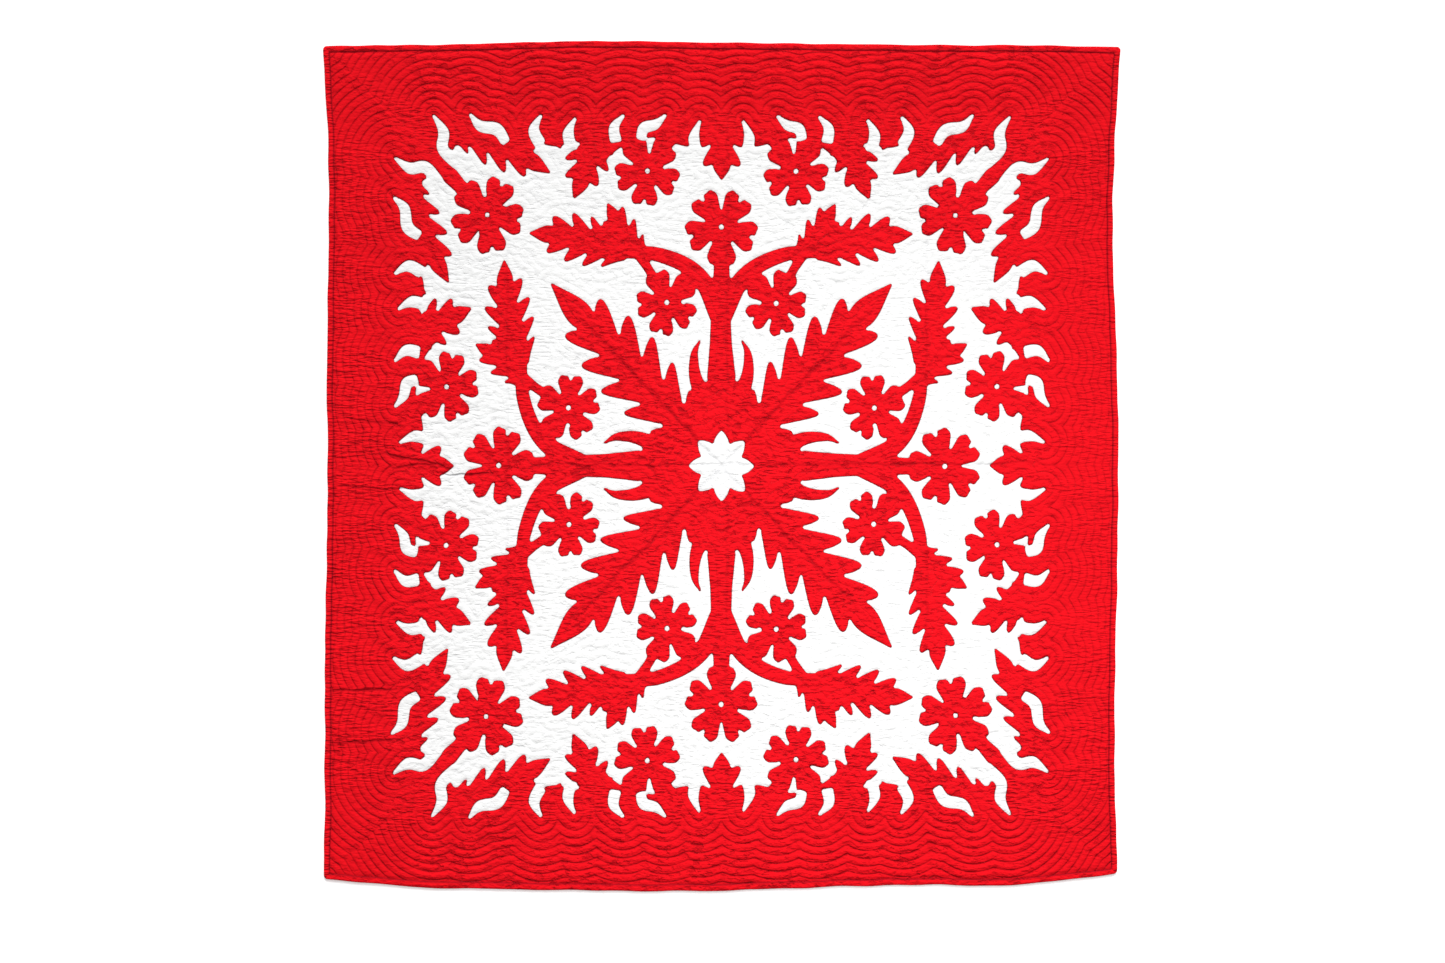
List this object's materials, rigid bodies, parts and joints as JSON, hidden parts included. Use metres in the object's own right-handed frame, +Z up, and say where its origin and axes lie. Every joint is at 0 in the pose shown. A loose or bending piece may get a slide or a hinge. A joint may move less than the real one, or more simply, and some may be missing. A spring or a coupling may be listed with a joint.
{
  "type": "tivaevae quilt",
  "caption": "Nearly square bed quilt lying flat, with a red cut-work medallion and red cut border sewn on white, echo quilted and bound in red.",
  "frame": {"origin": "middle of the quilt's box, on the surface it lies on", "axes": "+Z up out of the quilt's face, +Y towards its top edge along its longer side, +X towards its right edge"},
  "size_m": [1.9848, 2.1162, 0.0103],
  "materials": {
    "red_cotton": "matt plain-woven cotton, red",
    "white_cotton": "matt plain-woven cotton, white"
  },
  "bodies": {
    "root": {"ground": "white_cotton", "border_cloth": "red_cotton", "medallion_cloth": "red_cotton", "binding_top": "red_cotton", "binding_right": "red_cotton", "binding_bottom": "red_cotton", "binding_left": "red_cotton"}
  },
  "joints": []
}
